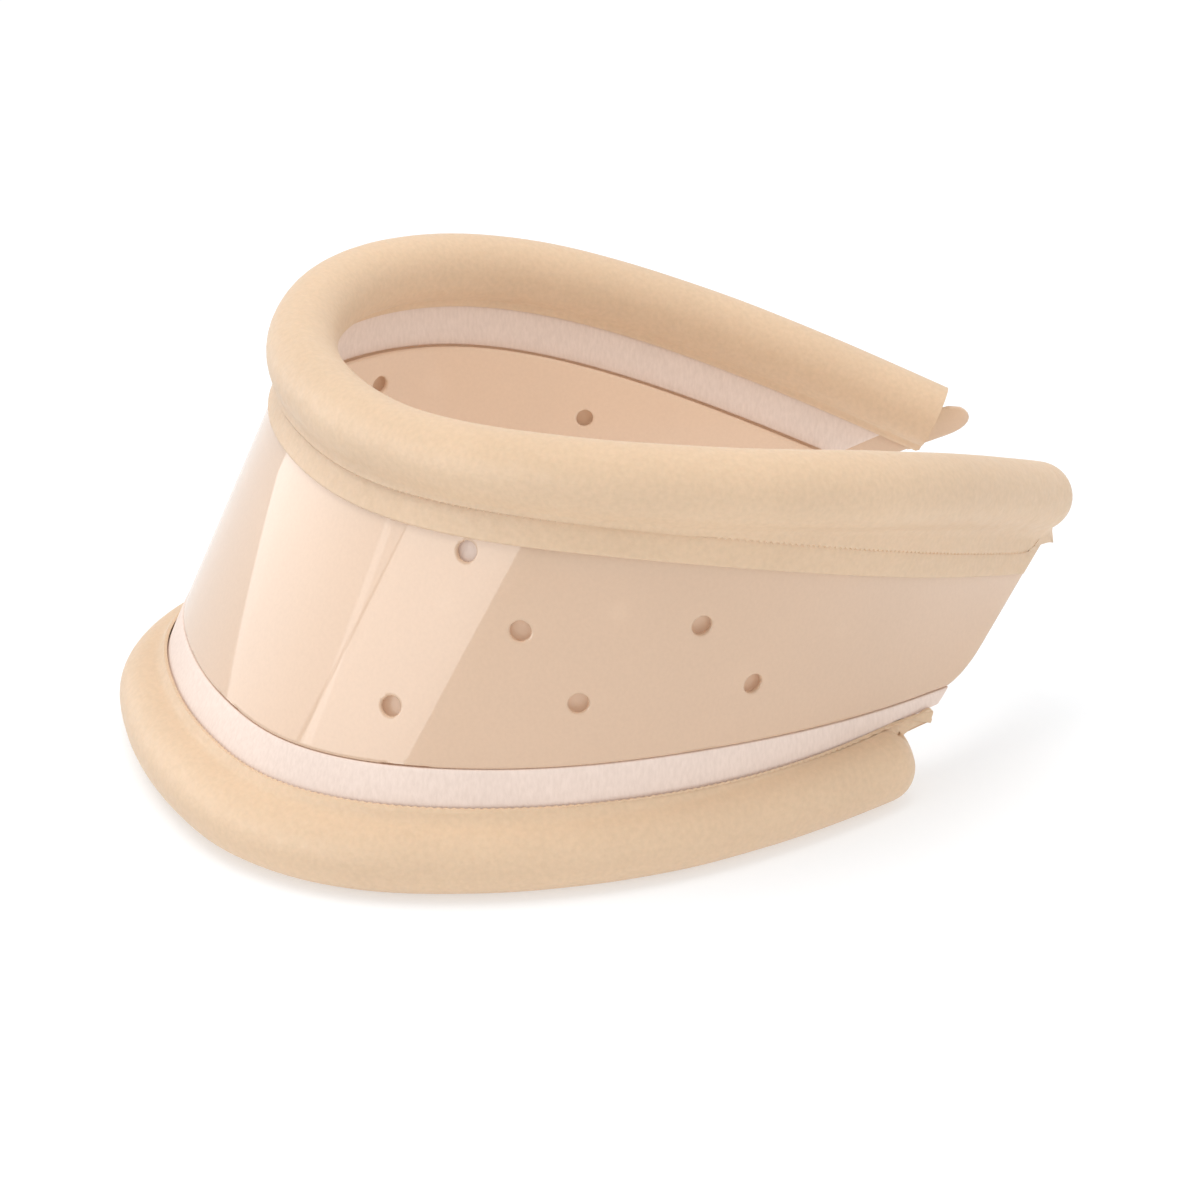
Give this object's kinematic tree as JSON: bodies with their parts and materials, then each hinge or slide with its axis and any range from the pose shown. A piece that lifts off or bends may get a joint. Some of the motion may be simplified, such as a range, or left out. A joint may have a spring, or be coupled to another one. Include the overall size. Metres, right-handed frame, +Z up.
{
  "type": "cervical collar",
  "caption": "Height-adjustable plastic cervical collar: two nested bands between padded edge rolls, open at the back with a hook-and-loop closure.",
  "frame": {"origin": "centre of the object's box on the surface it stands on", "axes": "+Z up, -Y towards the chin side, +Y towards the opening at the back, X = 0 is the plane of symmetry"},
  "size_m": [0.1606, 0.2086, 0.089],
  "materials": {
    "plastic": "translucent, glossy",
    "vinyl": "matt grained vinyl",
    "white_tape": "smooth woven-backed tape",
    "foam": "open-cell foam",
    "patch": "hook and loop"
  },
  "bodies": {
    "lower": {"lower_band": "plastic", "bottom_outer_tape": "white_tape", "bottom_inner_tape": "vinyl", "bottom_roll_foam": "foam", "bottom_roll_cover": "vinyl", "closure_hook_patch": "patch"},
    "upper": {"upper_band": "plastic", "top_outer_tape": "vinyl", "top_inner_tape": "white_tape", "top_roll_foam": "foam", "top_roll_cover": "vinyl", "closure_loop_patch": "patch"}
  },
  "joints": [
    {"name": "height_slide", "type": "slide", "parent": "lower", "child": "upper", "axis": [0, 0.4, 0.9165], "range_m": [0, 0.012]}
  ]
}
